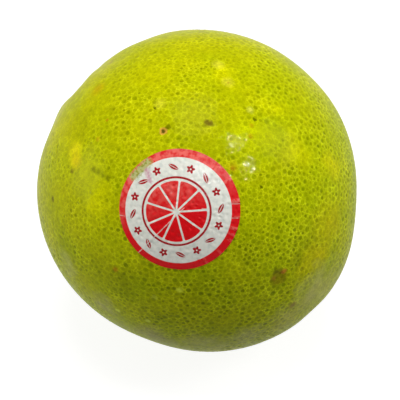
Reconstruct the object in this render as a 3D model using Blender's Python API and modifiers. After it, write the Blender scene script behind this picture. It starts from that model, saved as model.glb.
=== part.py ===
"""A whole green grapefruit of the pomelo type, as picked, lying on its flank.

Three pieces: the fruit, which grew in one piece and is one solid; the stem button, a lobed calyx
with the stem cut off flush in it, in the hollow of the stem end; and a round sticker on the front.
Metres, +Z up. The origin is on the flat spot that the fruit rests on, straight under its weight,
and the front of the fruit faces -Y. Directions on the fruit are given as azimuth, from +X towards
+Y, and elevation, both in degrees.
"""
import math

import bmesh
import bpy
import numpy as np
from mathutils import Vector, noise

MM = 0.001
COLLECTION = "green_grapefruit"

# The fruit's body: a turned shape about the line from the blossom end to the stem end
MEAN_RADIUS = 72.5 * MM
LENGTHENING = 0.0120   # both ends stand out and the waist draws in, as a share of the radius
PEAR_SHAPE = 0.0115    # the blossom end is drawn out and the stem end is flattened
STEM_END = (143, 32)   # azimuth, elevation
SPOT_DEPTH = 1.1 * MM  # how much of the round flank the flat spot takes away

# The hollow of the stem end, the furrows that run out of it, and the scar at the blossom end
CAVITY_DEPTH, CAVITY_WIDTH = 3.0 * MM, 6.8
FURROW_DEPTH, FURROW_REACH = 0.5 * MM, 24
FURROW_WAVES = [(5, 0.6, 1.0), (8, 2.1, 0.6)]  # count round the stem, turn in radians, strength
SCAR_DEPTH, SCAR_WIDTH = 0.8 * MM, 4

# What makes this one fruit uneven: azimuth, elevation, height in millimetres, width in degrees
SWELLINGS = {
    "dent in the right flank": (-5, -6, -1.5, 15),
    "swelling above that dent": (22, 24, 0.9, 15),
    "swelling of the top": (108, 53, 0.35, 8),
    "flat place above the stem": (138, 44.5, -0.55, 5),
    "shoulder in front of the stem": (147, 39.5, 0.4, 5),
    "flat place beside the stem": (156, 34, -1.5, 6),
    "fold on the left shoulder": (158, 24, 0.7, 5),
    "furrow beside that fold": (167, 15, -0.8, 4.5),
    "swelling on the left flank": (-177, -3, 0.3, 14),
    "flat place low on the left": (-117, -45, -0.6, 14),
}
WAVINESS, WAVES_PER_RADIUS = 0.25 * MM, 2.2

# The oil pits of the rind, drawn at nearly four times their real spacing so that each is a form
NET_POINTS = 730
NET_SEED = 7
NET_JOG = 0.18         # how far the points of the net are jogged out of line, as a share of spacing
EVENING_STEPS, EVENING = 2, 0.8
PIT_MOUTH = 38         # how far a pit reaches towards the next one, in percent
PIT_SLOPE = 0.23       # depth of a pit as a share of the radius of its mouth
FOOT_WITHOUT_PITS = 16 # degrees round the flat spot

# Rings of finer net at each end of the fruit, where there are no pits
RING_STEP = 3.5        # degrees
STEM_RINGS, BLOSSOM_RINGS = 4, 2

# The stem button in millimetres. Half of its section, as radius and height, runs from the middle of
# its underside out under the calyx, back over it, and up to the flush cut of the stem.
BUTTON_PROFILE = [
    (0, 0), (3.0, 0), (5.9, 0), (6.5, 0.4), (5.9, 0.9), (3.6, 1.2),
    (2.9, 1.5), (2.7, 2.0), (2.4, 2.2), (0, 2.2),
]
STEM_RADIUS = 3.0      # only what is outside it is lobed
BUTTON_STEPS = 40
CALYX_LOBES = 5
LOBE_SHARE = 0.10      # how far the lobes reach out, as a share of the calyx radius
BUTTON_GAP = 0.5 * MM

# The sticker
STICKER_PLACE = (-98.3, 33.0)
STICKER_RADIUS = 26.25
STICKER_RINGS, STICKER_STEPS = 6, 48
STICKER_THICKNESS = 0.5 * MM
STICKER_GAP = 0.35 * MM

# The finish of each piece: linear colour and roughness
RIND = (0.38, 0.42, 0.02), 0.45
DRY_STEM = (0.16, 0.12, 0.05), 0.8
PRINTED_FILM = (0.72, 0.18, 0.17), 0.35
SHARP_FROM = math.radians(40)


def direction(azimuth, elevation):
    """The unit vector that points that way."""
    azimuth, elevation = math.radians(azimuth), math.radians(elevation)
    flat = math.cos(elevation)
    return Vector((flat * math.cos(azimuth), flat * math.sin(azimuth), math.sin(elevation)))


def axes_at(outward):
    """Level and upward unit vectors on the skin, seen from outside where it faces that way."""
    level = Vector((0, 0, 1)).cross(outward).normalized()
    return level, outward.cross(level)


def degrees_from(points, outward):
    """How far each unit vector is turned away from that direction, in degrees."""
    return np.degrees(np.arccos(np.clip(points @ np.array(outward), -1, 1)))


def cap(degrees, width):
    """1 at the middle of a round swelling, and falling smoothly to 0 past its width."""
    return np.exp(-((degrees / width) ** 2))


def skin_radius(points):
    """The distance from the fruit's middle to its skin along each unit vector."""
    stem = direction(*STEM_END)
    from_stem = degrees_from(points, stem)
    along = np.radians(180 - from_stem)
    share = 1 + LENGTHENING * np.cos(2 * along) + PEAR_SHAPE * np.cos(3 * along)
    radius = MEAN_RADIUS * share
    radius -= CAVITY_DEPTH * cap(from_stem, CAVITY_WIDTH)
    radius -= SCAR_DEPTH * cap(180 - from_stem, SCAR_WIDTH)
    level, upward = axes_at(stem)
    around = np.arctan2(points @ np.array(upward), points @ np.array(level))
    grooves = sum(strength * np.cos(count * around + turn) for count, turn, strength in FURROW_WAVES)
    reach = from_stem / FURROW_REACH
    radius -= FURROW_DEPTH * grooves * reach * np.exp(1 - reach ** 2) / 2
    for azimuth, elevation, height, width in SWELLINGS.values():
        middle = direction(azimuth, elevation)
        radius += height * MM * cap(degrees_from(points, middle), width)
    waves = [noise.noise(Vector(point) * WAVES_PER_RADIUS) for point in points]
    return radius + WAVINESS * np.array(waves)


def spiral_directions(count):
    """Unit vectors evenly spread over the sphere, along a spiral from pole to pole."""
    step = np.arange(count) + 0.5
    height = 1 - 2 * step / count
    turn = math.pi * (1 + math.sqrt(5)) * step
    flat = np.sqrt(1 - height ** 2)
    return np.column_stack([flat * np.cos(turn), flat * np.sin(turn), height])


def resting_middle(samples=20000):
    """Where the fruit's middle is when its weight is over the origin and its flat spot at z = 0."""
    points = spiral_directions(samples)
    radius = skin_radius(points)
    weight = (points * radius[:, None] ** 4 / 4).sum(axis=0) / (radius ** 3 / 3).sum()
    lowest = (points[:, 2] * radius).min()
    return Vector((-weight[0], -weight[1], -lowest - SPOT_DEPTH))


MIDDLE = resting_middle()
DOWN = Vector((0, 0, -1))
ENDS = [(direction(*STEM_END), STEM_RINGS), (-direction(*STEM_END), BLOSSOM_RINGS)]


def to_skin(bm, heights=0.0):
    """Moves each vertex of a mesh round the middle out along its own line, to a height on the skin."""
    points = np.array([vert.co.normalized() for vert in bm.verts])
    radius = skin_radius(points) + heights
    for vert, point, length in zip(bm.verts, points, radius):
        vert.co = MIDDLE + Vector(point) * float(length)


def hull_of(points):
    """The closed triangle net over these points."""
    bm = bmesh.new()
    for point in points:
        bm.verts.new(point)
    found = bmesh.ops.convex_hull(bm, input=bm.verts)
    spare = [item for item in found["geom_interior"] if isinstance(item, bmesh.types.BMVert)]
    bmesh.ops.delete(bm, geom=spare, context="VERTS")
    bmesh.ops.recalc_face_normals(bm, faces=bm.faces)
    return bm


def rings_round(outward, rings):
    """Directions on rings about one direction, with that direction in the middle."""
    level, upward = axes_at(outward)
    points = [outward]
    for ring in range(1, rings + 1):
        tilt = math.radians(ring * RING_STEP)
        for step in range(6 * ring):
            turn = math.tau * step / (6 * ring)
            along = level * math.cos(turn) + upward * math.sin(turn)
            points.append(outward * math.cos(tilt) + along * math.sin(tilt))
    return points


def rind_net():
    """A net of triangles of about one size but in no rows, and finer at the two ends."""
    spacing = math.sqrt(4 * math.pi / NET_POINTS)
    jogs = np.random.default_rng(NET_SEED).normal(size=(NET_POINTS, 3))
    jogged = spiral_directions(NET_POINTS) + NET_JOG * spacing * jogs
    points = [Vector(point).normalized() for point in jogged]
    for _ in range(EVENING_STEPS):
        bm = hull_of(points)
        bmesh.ops.smooth_vert(
            bm, verts=bm.verts, factor=EVENING, use_axis_x=True, use_axis_y=True, use_axis_z=True
        )
        points = [vert.co.normalized() for vert in bm.verts]
        bm.free()
    for outward, rings in ENDS:
        clear = math.radians(rings * RING_STEP) + spacing / 2
        points = [point for point in points if point.angle(outward) > clear]
        points += rings_round(outward, rings)
    return hull_of(points)


def has_pit(vert):
    """Whether a point of the net is out on the rind, away from both ends and the flat spot."""
    outward = vert.co - MIDDLE
    if math.degrees(outward.angle(DOWN)) < FOOT_WITHOUT_PITS:
        return False
    return all(math.degrees(outward.angle(end)) > (rings + 0.5) * RING_STEP for end, rings in ENDS)


def add_piece(name, bm, material):
    """Makes the mesh an object of the fruit, with its own material."""
    mesh = bpy.data.meshes.new(name)
    bm.to_mesh(mesh)
    bm.free()
    mesh.materials.append(material)
    piece = bpy.data.objects.new(name, mesh)
    bpy.data.collections[COLLECTION].objects.link(piece)
    return piece


def surface(name, colour, roughness):
    """A Principled material with this linear colour."""
    material = bpy.data.materials.new(name)
    material.use_nodes = True
    shader = material.node_tree.nodes["Principled BSDF"]
    shader.inputs["Base Color"].default_value = (*colour, 1)
    shader.inputs["Roughness"].default_value = roughness
    shader.inputs["Metallic"].default_value = 0
    return material


def sink_pits(bm):
    """Cuts each point of the net down to a small face, the mouth of a pit, and sinks its middle."""
    pits = [vert for vert in bm.verts if has_pit(vert)]
    cut = bmesh.ops.bevel(
        bm, geom=pits, offset=PIT_MOUTH, offset_type="PERCENT", segments=1, affect="VERTICES"
    )
    sunk = bmesh.ops.poke(bm, faces=cut["faces"], center_mode="MEAN")
    for vert in sunk["verts"]:
        spokes = [edge.calc_length() for edge in vert.link_edges]
        vert.co -= (vert.co - MIDDLE).normalized() * PIT_SLOPE * sum(spokes) / len(spokes)


def add_body():
    """The fruit: a net on the skin with its pits, cut off level at the flat spot."""
    bm = rind_net()
    to_skin(bm)
    sink_pits(bm)
    everything = bm.verts[:] + bm.edges[:] + bm.faces[:]
    bmesh.ops.bisect_plane(
        bm, geom=everything, dist=1e-7, plane_co=(0, 0, 0), plane_no=DOWN, clear_outer=True
    )
    rim = [edge for edge in bm.edges if edge.is_boundary]
    bmesh.ops.contextual_create(bm, geom=rim)
    bmesh.ops.recalc_face_normals(bm, faces=bm.faces)
    add_piece("grapefruit_body", bm, surface("pitted_green_rind", *RIND))


def turned(profile, steps):
    """A mesh turned about +Z from (radius, height) points, in the profile's own units."""
    bm = bmesh.new()
    verts = [bm.verts.new((radius, 0, height)) for radius, height in profile]
    edges = [bm.edges.new(pair) for pair in zip(verts, verts[1:])]
    bmesh.ops.spin(
        bm, geom=verts + edges, cent=(0, 0, 0), axis=(0, 0, 1), angle=math.tau, steps=steps,
        use_merge=True,
    )
    bmesh.ops.remove_doubles(bm, verts=bm.verts, dist=1e-4)
    bmesh.ops.recalc_face_normals(bm, faces=bm.faces)
    return bm


def lay_on_skin(bm, outward, gap):
    """Lays a mesh drawn in millimetres on its table over the skin, with its +Z outwards."""
    level, upward = axes_at(outward)
    heights = np.array([vert.co.z * MM + gap for vert in bm.verts])
    for vert in bm.verts:
        x, y = vert.co.x * MM / MEAN_RADIUS, vert.co.y * MM / MEAN_RADIUS
        tilt = math.hypot(x, y)
        along = (level * x + upward * y) / tilt if tilt else level
        vert.co = outward * math.cos(tilt) + along * math.sin(tilt)
    to_skin(bm, heights)


def add_stem_button():
    """The calyx, with its lobes, and the end of the stem that was cut off flush in it."""
    bm = turned(BUTTON_PROFILE, BUTTON_STEPS)
    for vert in bm.verts:
        radius = math.hypot(vert.co.x, vert.co.y)
        if radius > STEM_RADIUS:
            lobes = math.cos(CALYX_LOBES * math.atan2(vert.co.y, vert.co.x))
            vert.co.xy *= 1 + LOBE_SHARE * lobes * (radius - STEM_RADIUS) / STEM_RADIUS
    lay_on_skin(bm, direction(*STEM_END), BUTTON_GAP)
    piece = add_piece("stem_button", bm, surface("dry_woody_stem", *DRY_STEM))
    piece.data.shade_smooth()
    piece.data.set_sharp_from_angle(angle=SHARP_FROM)


def add_sticker():
    """A thin disc of film, bent to the skin. It is thicker than life, so that it is a solid."""
    rings = [(STICKER_RADIUS * ring / STICKER_RINGS, 0) for ring in range(STICKER_RINGS + 1)]
    bm = turned(rings, STICKER_STEPS)
    lay_on_skin(bm, direction(*STICKER_PLACE), STICKER_GAP)
    piece = add_piece("round_sticker", bm, surface("printed_film", *PRINTED_FILM))
    wall = piece.modifiers.new("film_thickness", "SOLIDIFY")
    wall.thickness = STICKER_THICKNESS
    wall.offset = 1
    piece.data.shade_smooth()
    piece.data.set_sharp_from_angle(angle=SHARP_FROM)


def main():
    for startup in list(bpy.data.objects):
        bpy.data.objects.remove(startup)
    collection = bpy.data.collections.new(COLLECTION)
    bpy.context.scene.collection.children.link(collection)
    bpy.context.scene.unit_settings.system = "METRIC"
    add_body()
    add_stem_button()
    add_sticker()


main()
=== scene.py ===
# %% [markdown]
# # A green grapefruit with a round label
# The part is one whole citrus fruit, 145 mm across, lying on a small flat spot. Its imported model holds
# three plain solids: the body, the dry button where it hung from its stem, and a thin round label.
# This lesson keeps their places and sizes and gives each one the surface of the real thing. The
# solids come first, because everything made later is set against them.

import math
from functools import partial

import bpy
import numpy as np
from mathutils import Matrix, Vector, kdtree, noise


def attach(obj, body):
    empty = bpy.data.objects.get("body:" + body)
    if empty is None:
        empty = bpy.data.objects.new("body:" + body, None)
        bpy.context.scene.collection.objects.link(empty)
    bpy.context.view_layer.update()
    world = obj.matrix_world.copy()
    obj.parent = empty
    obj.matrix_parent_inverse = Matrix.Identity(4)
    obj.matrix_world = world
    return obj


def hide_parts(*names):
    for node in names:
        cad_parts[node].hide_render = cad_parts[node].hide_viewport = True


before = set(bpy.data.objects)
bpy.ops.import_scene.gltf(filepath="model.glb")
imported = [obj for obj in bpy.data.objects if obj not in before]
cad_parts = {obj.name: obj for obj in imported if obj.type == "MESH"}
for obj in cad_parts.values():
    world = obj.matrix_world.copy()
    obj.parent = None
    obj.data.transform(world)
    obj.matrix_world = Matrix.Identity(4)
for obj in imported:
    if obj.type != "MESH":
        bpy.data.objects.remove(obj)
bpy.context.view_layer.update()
bpy.ops.object.select_all(action="DESELECT")
MM = 0.001

# %% [markdown]
# ## Two helpers for materials
# Colours are easiest to choose as the hex values that a screen shows, but a renderer adds up light,
# which is linear. One function turns the first into the second. Shader graphs get long, so a second
# function adds any node together with its settings, its values and its links, and gives the output
# that the next node takes. A graph then reads from top to bottom like a recipe. Most inputs are
# listed in the node's order, such as a Map Range's value and the ends of its two ranges.

# %% Colours and nodes


def linear(hex_colour):
    """A hex colour as the linear red, green, blue and alpha that a shader takes."""
    shares = [int(hex_colour[start:start + 2], 16) / 255 for start in (1, 3, 5)]
    return (*[s / 12.92 if s <= 0.04045 else ((s + 0.055) / 1.055) ** 2.4 for s in shares], 1)


def add_node(owner, kind, inputs=(), output=0, **settings):
    """Adds a node to a material or world and gives one of its outputs.

    The kind may have an operation after it. The inputs are a list in the node's own order, or named.
    Each is a value, or an output to link.
    """
    kind, *operation = kind.split()
    node = owner.node_tree.nodes.new("ShaderNode" + kind)
    for name in operation:
        node.operation = name
    for name, value in settings.items():
        setattr(node, name, value)
    for name, value in inputs.items() if isinstance(inputs, dict) else enumerate(inputs):
        if isinstance(value, bpy.types.NodeSocket):
            owner.node_tree.links.new(value, node.inputs[name])
        else:
            node.inputs[name].default_value = value
    return node.outputs[output] if node.outputs else None


FACTOR, FIRST, SECOND = 0, 6, 7  # the inputs of a Mix node that mixes colours
COLOURS = {"output": 2, "data_type": "RGBA"}  # its output and its setting
FIRST_NUMBER, SECOND_NUMBER = 2, 3  # the inputs of one that mixes numbers


def empty_material(name):
    """A material whose graph holds nothing yet."""
    material = bpy.data.materials.new(name)
    material.use_nodes = True
    material.node_tree.nodes.clear()
    return material


print("linear grey of #808080:", round(linear("#808080")[0], 3))

# %% [markdown]
# ## The shape of the fruit
# A citrus fruit grows from its stem end to its blossom end, and this one is nearly a ball: a little
# longer along that axis, a little fuller at one end, with a hollow round the stem, shallow furrows
# running into it, and the dents that it got from lying against others. A formula for the distance of
# the skin from the middle, in every direction, says all of this. The solid body is grown from the
# same formula with the same values, so whatever is laid on this skin fits that solid without fitting.

# %% The skin as a formula
MEAN_RADIUS = 72.5 * MM
LENGTHENING = 0.0120
PEAR_SHAPE = 0.0115
STEM_END = (143, 32)  # azimuth and elevation in degrees; the blossom end lies opposite
SPOT_DEPTH = 1.1 * MM
CAVITY_DEPTH, CAVITY_WIDTH = 3.0 * MM, 6.8
FURROW_DEPTH, FURROW_REACH = 0.5 * MM, 24
FURROW_WAVES = [(5, 0.6, 1.0), (8, 2.1, 0.6)]  # count round the stem, turn in radians, strength
SCAR_DEPTH, SCAR_WIDTH = 0.8 * MM, 4
SWELLINGS = {  # azimuth, elevation, height in mm, width in degrees
    "dent in the right flank": (-5, -6, -1.5, 15),
    "swelling above that dent": (22, 24, 0.9, 15),
    "swelling of the top": (108, 53, 0.35, 8),
    "flat place above the stem": (138, 44.5, -0.55, 5),
    "shoulder in front of the stem": (147, 39.5, 0.4, 5),
    "flat place beside the stem": (156, 34, -1.5, 6),
    "fold on the left shoulder": (158, 24, 0.7, 5),
    "furrow beside that fold": (167, 15, -0.8, 4.5),
    "swelling on the left flank": (-177, -3, 0.3, 14),
    "flat place low on the left": (-117, -45, -0.6, 14),
}
WAVINESS, WAVES_PER_RADIUS = 0.25 * MM, 2.2


def direction(azimuth, elevation):
    """The unit vector at these two angles, in degrees."""
    turn, rise = math.radians(azimuth), math.radians(elevation)
    return Vector((math.cos(rise) * math.cos(turn), math.cos(rise) * math.sin(turn), math.sin(rise)))


def axes_at(outward):
    """Two directions along the skin: level, and up the slope."""
    level = Vector((0, 0, 1)).cross(outward).normalized()
    return level, outward.cross(level)


def degrees_from(points, outward):
    """The angle between each unit vector and one direction."""
    return np.degrees(np.arccos(np.clip(points @ np.array(outward), -1, 1)))


def cap(degrees, width):
    """A soft round bump that fades over a width in degrees."""
    return np.exp(-((degrees / width) ** 2))


def skin_radius(points):
    """The distance from the middle to the skin, in each of these unit directions."""
    stem = direction(*STEM_END)
    from_stem = degrees_from(points, stem)
    along = np.radians(180 - from_stem)
    radius = MEAN_RADIUS * (1 + LENGTHENING * np.cos(2 * along) + PEAR_SHAPE * np.cos(3 * along))
    radius -= CAVITY_DEPTH * cap(from_stem, CAVITY_WIDTH)
    radius -= SCAR_DEPTH * cap(180 - from_stem, SCAR_WIDTH)
    level, upward = axes_at(stem)
    around = np.arctan2(points @ np.array(upward), points @ np.array(level))
    grooves = sum(strength * np.cos(count * around + turn) for count, turn, strength in FURROW_WAVES)
    reach = from_stem / FURROW_REACH
    radius -= FURROW_DEPTH * grooves * reach * np.exp(1 - reach ** 2) / 2
    for azimuth, elevation, height, width in SWELLINGS.values():
        radius += height * MM * cap(degrees_from(points, direction(azimuth, elevation)), width)
    waves = [noise.noise(Vector(point) * WAVES_PER_RADIUS) for point in points]
    return radius + WAVINESS * np.array(waves)


# %% [markdown]
# Set down, the fruit settles with its weight over the lowest point. The middle of the formula
# therefore lies a little off the origin, which is the middle of the flat spot that it rests on. The
# place is worked out from a spiral of directions that samples the skin evenly.

# %% Where the middle of the fruit lies


def spiral_directions(count):
    """Unit vectors spread evenly over a ball."""
    step = np.arange(count) + 0.5
    height = 1 - 2 * step / count
    turn = math.pi * (1 + math.sqrt(5)) * step
    flat = np.sqrt(1 - height ** 2)
    return np.stack([flat * np.cos(turn), flat * np.sin(turn), height], axis=1)


def resting_middle(samples=20000):
    """The middle of the fruit above its flat spot, with the weight over the origin."""
    points = spiral_directions(samples)
    radius = skin_radius(points)
    weight = (points * radius[:, None] ** 4 / 4).sum(axis=0) / (radius ** 3 / 3).sum()
    lowest = (points[:, 2] * radius).min()
    return Vector((-weight[0], -weight[1], -lowest - SPOT_DEPTH))


MIDDLE = resting_middle()
print("middle of the fruit in mm:", [round(value / MM, 2) for value in MIDDLE])

# %% [markdown]
# ## The camera
# The photograph looks down on the fruit at 40 degrees from arm's length, through a long lens: the
# circles of the label and the outline barely taper. The camera is aimed so that the middle of the
# fruit falls on the same point of the picture.

# %% Place and aim the camera
PICTURE = 400  # pixels each way
CAMERA_ELEVATION = 40
CAMERA_DISTANCE = 0.85
FOCAL_PIXELS = 1878  # sets how large the fruit is in the picture
MIDDLE_PIXEL = (199.6, 191.8)
SENSOR = 36
ROUNDS_TO_SETTLE = 5  # after which a ray's guess at the skin no longer moves

towards_camera = direction(-90, CAMERA_ELEVATION)
across, up = axes_at(towards_camera)
pixel_size = CAMERA_DISTANCE / FOCAL_PIXELS
aim = MIDDLE + across * (PICTURE / 2 - MIDDLE_PIXEL[0]) * pixel_size
aim += up * (MIDDLE_PIXEL[1] - PICTURE / 2) * pixel_size

bpy.ops.object.camera_add(location=aim + towards_camera * CAMERA_DISTANCE)
camera = bpy.context.object
camera.rotation_euler = (-towards_camera).to_track_quat("-Z", "Y").to_euler()
camera.data.sensor_width = SENSOR
camera.data.lens = SENSOR * FOCAL_PIXELS / PICTURE
camera.data.clip_start = 0.05
bpy.context.scene.camera = camera
bpy.context.view_layer.update()


def skin_at_pixel(pixel):
    """The direction from the middle of the fruit to the skin that shows at a pixel."""
    slope = Vector(((pixel[0] - PICTURE / 2) / FOCAL_PIXELS, (PICTURE / 2 - pixel[1]) / FOCAL_PIXELS, -1))
    ray = (camera.matrix_world.to_3x3() @ slope).normalized()
    to_middle = MIDDLE - camera.location
    nearest = to_middle.dot(ray)
    missed_by = to_middle.length_squared - nearest ** 2
    radius = MEAN_RADIUS
    for _ in range(ROUNDS_TO_SETTLE):
        depth = math.sqrt(max(radius ** 2 - missed_by, 0))
        outward = (camera.location + ray * (nearest - depth) - MIDDLE).normalized()
        radius = float(skin_radius(np.array([outward]))[0])
    return outward


print("lens in mm:", round(camera.data.lens, 1), "skin at the middle pixel:", skin_at_pixel(MIDDLE_PIXEL))

# %% [markdown]
# ## Light and floor
# The fruit is lit as in a light tent: a large soft lamp overhead, a weaker one at either side that
# keeps the flanks as bright as the front, and an even glow from all round for the lower half. Three
# small bright lamps show only in reflections: two in the wax, as the little glints of the photograph,
# and a wider one in the label's film. The floor is white and bright enough to vanish into the
# background. It gives off most of its light itself and is hidden from diffuse rays, so that it
# doesn't bleach the underside of the fruit.

# %% Lamps, glow and floor
LAMP_DISTANCE = 2.0
LAMPS = {  # azimuth, elevation, size, and how bright it alone would make a white card that faces it
    "overhead_softbox": (90, 90, 1.0, 0.60),
    "right_softbox": (0, 36, 0.9, 0.355),
    "left_softbox": (180, 10, 0.9, 0.34),
    "small_spotlight": (-30, 61, 0.09, 1.0),
    "second_spotlight": (-37, 45, 0.07, 1.0),
    "label_spotlight": (-80, 49, 0.22, 0.42),
}
SMALLEST_SOFTBOX = 0.5  # what is smaller shows only in reflections
GLOW = 0.236
FLOOR_SIZE, FLOOR_DROP = 12, 0.1 * MM
FLOOR_GLOW, FLOOR_GREY = 0.88, "#949494"

bpy.context.scene.view_settings.view_transform = "Standard"
for name, (azimuth, elevation, size, brightness) in LAMPS.items():
    to_lamp = direction(azimuth, elevation)
    bpy.ops.object.light_add(type="AREA", location=MIDDLE + to_lamp * LAMP_DISTANCE)
    lamp = bpy.context.object
    lamp.name = name
    lamp.rotation_euler = to_lamp.to_track_quat("Z", "Y").to_euler()
    lamp.data.size = size
    lamp.data.energy = brightness * (math.pi * LAMP_DISTANCE) ** 2
    lamp.visible_diffuse = size > SMALLEST_SOFTBOX
    print(name, round(lamp.data.energy, 1), "W")

tent = bpy.data.worlds.new("white_light_tent")
tent.use_nodes = True
tent.node_tree.nodes.clear()
glow = add_node(tent, "Background", [(GLOW, GLOW, GLOW, 1)])
backdrop = add_node(tent, "Background", [(1, 1, 1, 1)])
seen = add_node(tent, "LightPath", output="Is Camera Ray")
chosen = add_node(tent, "MixShader", [seen, glow, backdrop])
add_node(tent, "OutputWorld", [chosen])
bpy.context.scene.world = tent

bpy.ops.mesh.primitive_plane_add(size=FLOOR_SIZE, location=(0, 0, -FLOOR_DROP))
floor = bpy.context.object
floor.name = "white_floor"
floor.visible_diffuse = False
sweep = empty_material("white_sweep")
paper = add_node(sweep, "BsdfDiffuse", [linear(FLOOR_GREY)])
shine = add_node(sweep, "Emission", {"Strength": FLOOR_GLOW})
both = add_node(sweep, "AddShader", [paper, shine])
add_node(sweep, "OutputMaterial", [both])
floor.data.materials.append(sweep)
print("glow:", GLOW)

# %% [markdown]
# ## The net of oil glands
# The rind is packed with oil glands, one every 2.7 mm or so. Each shows as a round darker pit in a
# net of lighter skin. A bump texture would give the shading but not the shape, so every pit is
# modelled. An icosphere has just the right number of points, but in rows. Its points are scattered,
# set back on the ball, and wrapped in a new convex hull, which joins each point to its true
# neighbours. A little smoothing then evens out the worst gaps, and it is wrapped again.

# %% Scatter the glands
NET_SUBDIVISIONS = 6  # gives 10,242 glands
NET_SCATTER = 1.3 * MM
NET_SEED = 4
NET_SMOOTHING = 1


def mesh_points(piece):
    """The vertices of a piece as rows of coordinates."""
    points = np.empty(len(piece.data.vertices) * 3, np.float32)
    piece.data.vertices.foreach_get("co", points)
    return points.reshape(-1, 3).astype(float)


def move_points(piece, points):
    """Sets the vertices of a piece."""
    piece.data.vertices.foreach_set("co", points.astype(np.float32).ravel())
    piece.data.update()


def keep_values(piece, name, values, domain="POINT"):
    """Keeps a number or a vector for each point or face on the mesh."""
    value_type, key = ("FLOAT", "value") if values.ndim == 1 else ("FLOAT_VECTOR", "vector")
    kept = piece.data.attributes.new(name, value_type, domain)
    kept.data.foreach_set(key, values.astype(np.float32).ravel())


def unit(rows):
    """Rows of coordinates scaled to length one."""
    return rows / np.linalg.norm(rows, axis=1)[:, None]


def wrap_on_ball(piece):
    """Sets the points back on the ball and wraps them in a new hull."""
    move_points(piece, unit(mesh_points(piece)) * MEAN_RADIUS)
    bpy.ops.object.mode_set(mode="EDIT")
    bpy.ops.mesh.select_all(action="SELECT")
    bpy.ops.mesh.convex_hull(use_existing_faces=False, join_triangles=False)
    bpy.ops.object.mode_set(mode="OBJECT")


bpy.ops.mesh.primitive_ico_sphere_add(subdivisions=NET_SUBDIVISIONS, radius=MEAN_RADIUS)
rind = bpy.context.object
rind.name = "pitted_rind"
bpy.ops.object.mode_set(mode="EDIT")
bpy.ops.transform.vertex_random(offset=NET_SCATTER, uniform=1.0, normal=0.0, seed=NET_SEED)
bpy.ops.object.mode_set(mode="OBJECT")
wrap_on_ball(rind)
bpy.ops.object.mode_set(mode="EDIT")
bpy.ops.mesh.vertices_smooth(factor=0.5, repeat=NET_SMOOTHING)
bpy.ops.object.mode_set(mode="OBJECT")
wrap_on_ball(rind)
gland_count = len(rind.data.vertices)
print("glands:", gland_count)

# %% [markdown]
# ## The pit mouths
# A Bevel modifier that works on vertices cuts every point of the net off. It leaves a small
# many-sided mouth there, and between the mouths the lands of the net. Its width follows a weight on
# each point, drawn at random, so that large and small glands mix as on the fruit. Poking the faces
# then gives each mouth a point in its middle that can be sunk, and each land one that can be raised.

# %% Cut the mouths
MOUTH_SHARE = 48  # percent of the way to the next gland, at full weight
SMALLEST_MOUTH = 0.68
RANDOM_SEED = 11
LAND, MOUTH = 0, 1

random = np.random.default_rng(RANDOM_SEED)
keep_values(rind, "bevel_weight_vert", random.uniform(SMALLEST_MOUTH, 1, gland_count))
for name in ("land", "mouth"):
    rind.data.materials.append(bpy.data.materials.new(name))
bevel = rind.modifiers.new("pit_mouths", "BEVEL")
bevel.affect = "VERTICES"
bevel.offset_type = "PERCENT"
bevel.width_pct = MOUTH_SHARE
bevel.segments = 1
bevel.limit_method = "WEIGHT"
bevel.material = MOUTH
bpy.ops.object.modifier_apply(modifier=bevel.name)
corner_count = len(rind.data.vertices)
bpy.ops.object.mode_set(mode="EDIT")
bpy.ops.mesh.select_all(action="SELECT")
bpy.ops.mesh.poke()
bpy.ops.object.mode_set(mode="OBJECT")

kind = np.array([face.material_index for face in rind.data.polygons])
triangles = np.array([face.vertices[:] for face in rind.data.polygons])
is_middle = triangles >= corner_count
middles = triangles[is_middle]
corners = triangles[~is_middle].reshape(-1, 2)
pit_middles = np.unique(middles[kind == MOUTH])
land_middles = np.unique(middles[kind == LAND])
print("pits:", len(pit_middles), "lands:", len(land_middles), "triangles:", len(triangles))

# %% [markdown]
# ## Sinking the pits
# Every pit gets its own strength, which sets both its depth and its darkness: most are faint and a
# few stand out. They are plainer in some patches than in others, and fade out round the stem, at the
# blossom scar and on the flat spot. Each point of the net is then sent out to the skin of the
# formula, plus its own small height. Five values are kept on the mesh for the colours: how far a
# point lies from the middle of its pit, how strong that pit is, how plain the net is there, where
# the middles of the lands lie, and which faces belong to a mouth.

# %% Send the net out to the skin
PIT_DEPTH = 0.34 * MM
DEEPEST_SHARE = 1.2
FAINTEST, STRENGTH_RANGE, STRENGTH_DRAW = 0.12, 2.4, (1.1, 3.1)  # the last shapes a beta draw
LAND_RISE, LEAST_RISE = 0.10 * MM, 0.3  # most that a land stands up, and least share of it
SMOOTH_ROUND_STEM, SMOOTH_ROUND_SCAR = 29, 7  # degrees within which the glands fade out
SMOOTH_FOOT = 3 * MM  # height up to which the rind is pressed flat
# Partly painted shade: the pits are darker and deeper on the lower front side, away from the lamps.
SHADED_SIDE = direction(-50, -45)  # the side on which the glands stand out most
MARKED_PATCH = 12 * MM  # size of the patches in which the glands are plainer or fainter
MARKED, MARKED_BY_SHADED_SIDE, MARKED_BY_PATCH = 0.62, 0.26, 0.42
FAINT_PATCHES = [  # pixel and size in mm of places where the glands hardly show
    ((322, 286), 16), ((66, 118), 10), ((84, 104), 8), ((52, 200), 12), ((92, 180), 9),
    ((122, 322), 10), ((160, 340), 10), ((205, 345), 12), ((96, 292), 10), ((68, 258), 8),
]
FADED = 0.8  # how much of the glands' strength such a place takes away
DENTS = {  # pixel, radius in mm, depth in mm
    "bruise at the lower right": ((279.5, 277), 3.0, 0.45),
    "healed bite": ((163, 131), 1.6, 0.30),
    "smudge above the label": ((208, 123), 1.6, 0.20),
}

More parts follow.
